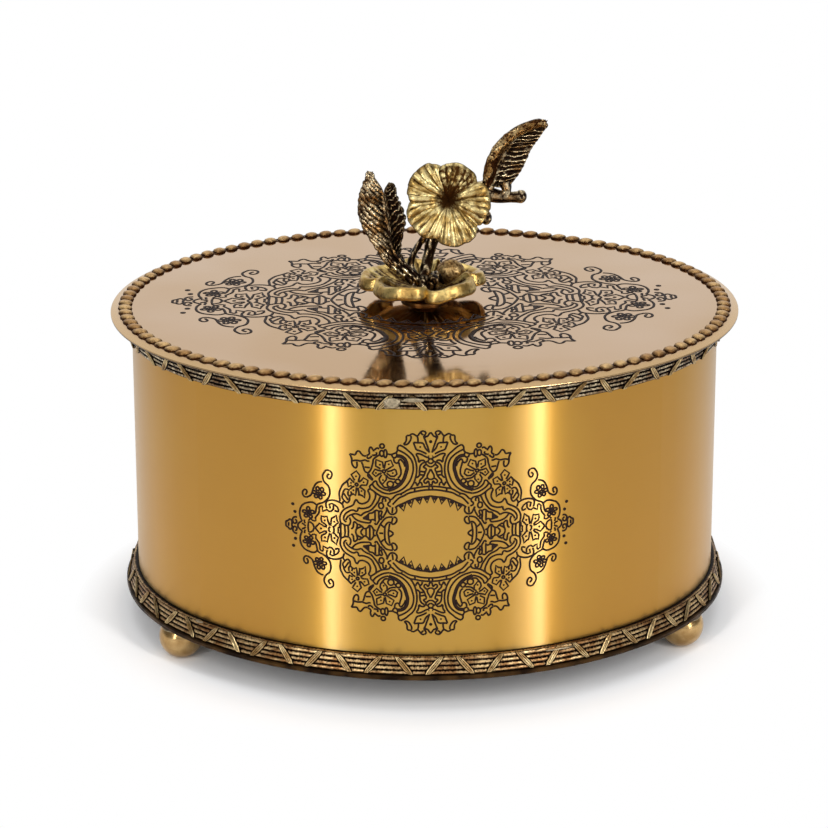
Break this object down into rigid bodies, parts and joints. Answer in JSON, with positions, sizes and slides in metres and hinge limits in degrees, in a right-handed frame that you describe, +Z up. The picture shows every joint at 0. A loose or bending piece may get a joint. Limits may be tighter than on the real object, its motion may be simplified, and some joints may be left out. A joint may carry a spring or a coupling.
{
  "type": "betel nut box",
  "caption": "Oval brass box on ball feet with an etched arabesque wall, reeded trim and a loose lift-off lid that carries a cast flower spray as its handle.",
  "frame": {"origin": "on the floor under the middle of the box", "axes": "+X along the oval, the front of the finial towards -Y, +Z up"},
  "size_m": [0.2, 0.177, 0.1631],
  "materials": {
    "wall_brass": "brushed sheet brass, darkened in the etched lines",
    "lid_brass": "mirror-polished reddish brass, darkened in the etched lines",
    "plate_brass": "plain sheet brass, slightly dulled",
    "strip_brass": "cast strip, rubbed bright on the reeds and dark in the recesses",
    "rope_brass": "cast beads, dark with rubbed tops",
    "petal_brass": "cast yellow brass, rubbed bright, dark in the veins",
    "cast_brass": "cast brass with a dark patina, bright on the ridges",
    "foot_brass": "satin turned brass",
    "fixing_brass": "plain machined brass"
  },
  "bodies": {
    "box": {"body_wall": "wall_brass", "base_plate": "plate_brass", "base_band": "strip_brass", "foot_front_left": "foot_brass", "foot_front_right": "foot_brass", "foot_back_left": "foot_brass", "foot_back_right": "foot_brass"},
    "lid": {"lid_plate": "lid_brass", "lid_rim": "plate_brass", "lid_collar": "plate_brass", "lid_band": "strip_brass", "rope_border": "rope_brass", "finial_pedestal": "petal_brass", "finial_blossom": "petal_brass", "finial_leaf_low": "cast_brass", "finial_stem": "cast_brass", "finial_flower": "petal_brass", "finial_branch": "cast_brass", "finial_leaf_high": "cast_brass", "finial_screw": "fixing_brass", "finial_washer": "fixing_brass"}
  },
  "joints": [
    {"name": "lid_lift", "type": "slide", "parent": "box", "child": "lid", "axis": [0, 0, 1], "range_m": [0, 0.12]}
  ]
}
